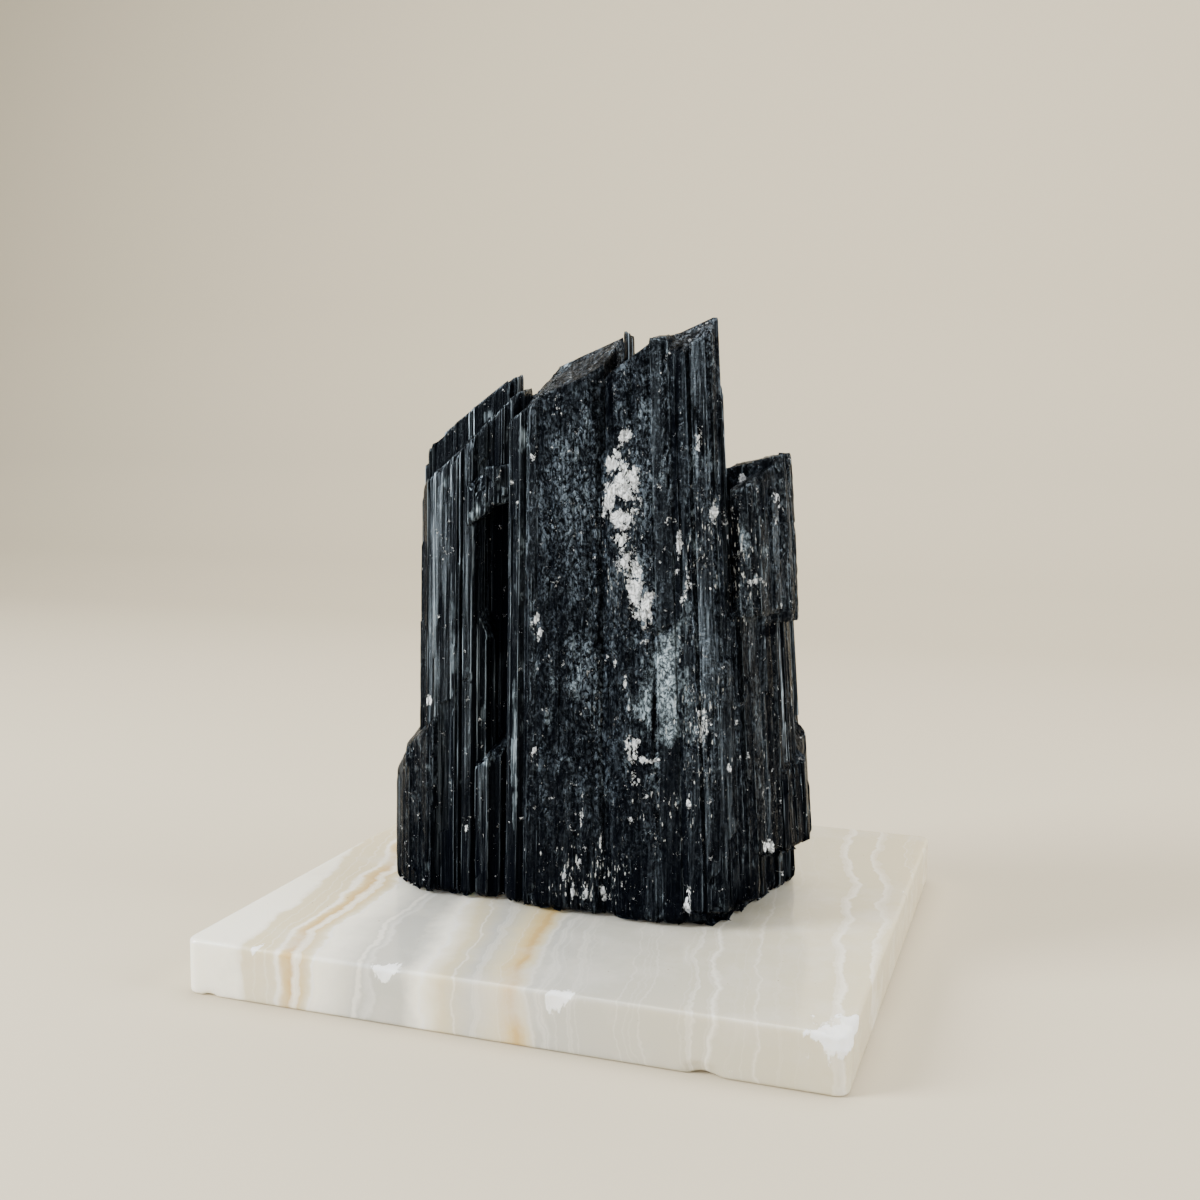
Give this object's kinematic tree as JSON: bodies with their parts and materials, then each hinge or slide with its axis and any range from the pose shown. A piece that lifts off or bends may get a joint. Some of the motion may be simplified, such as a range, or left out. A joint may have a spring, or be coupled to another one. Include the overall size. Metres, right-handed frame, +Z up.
{
  "type": "raw black tourmaline on a polished onyx slab",
  "caption": "Raw black tourmaline: a standing bundle of striated crystals with slanting broken tops, resting on a square polished slab of banded onyx.",
  "frame": {"origin": "middle of the underside of the onyx slab, on the surface that it stands on", "axes": "+X along the slab's front edge to the right, +Y towards the slab's back, +Z up along the crystals"},
  "size_m": [0.152, 0.147, 0.1559],
  "materials": {
    "tourmaline": "satin",
    "onyx": "polished"
  },
  "bodies": {
    "root": {"tourmaline": "tourmaline", "onyx_slab": "onyx"}
  },
  "joints": []
}
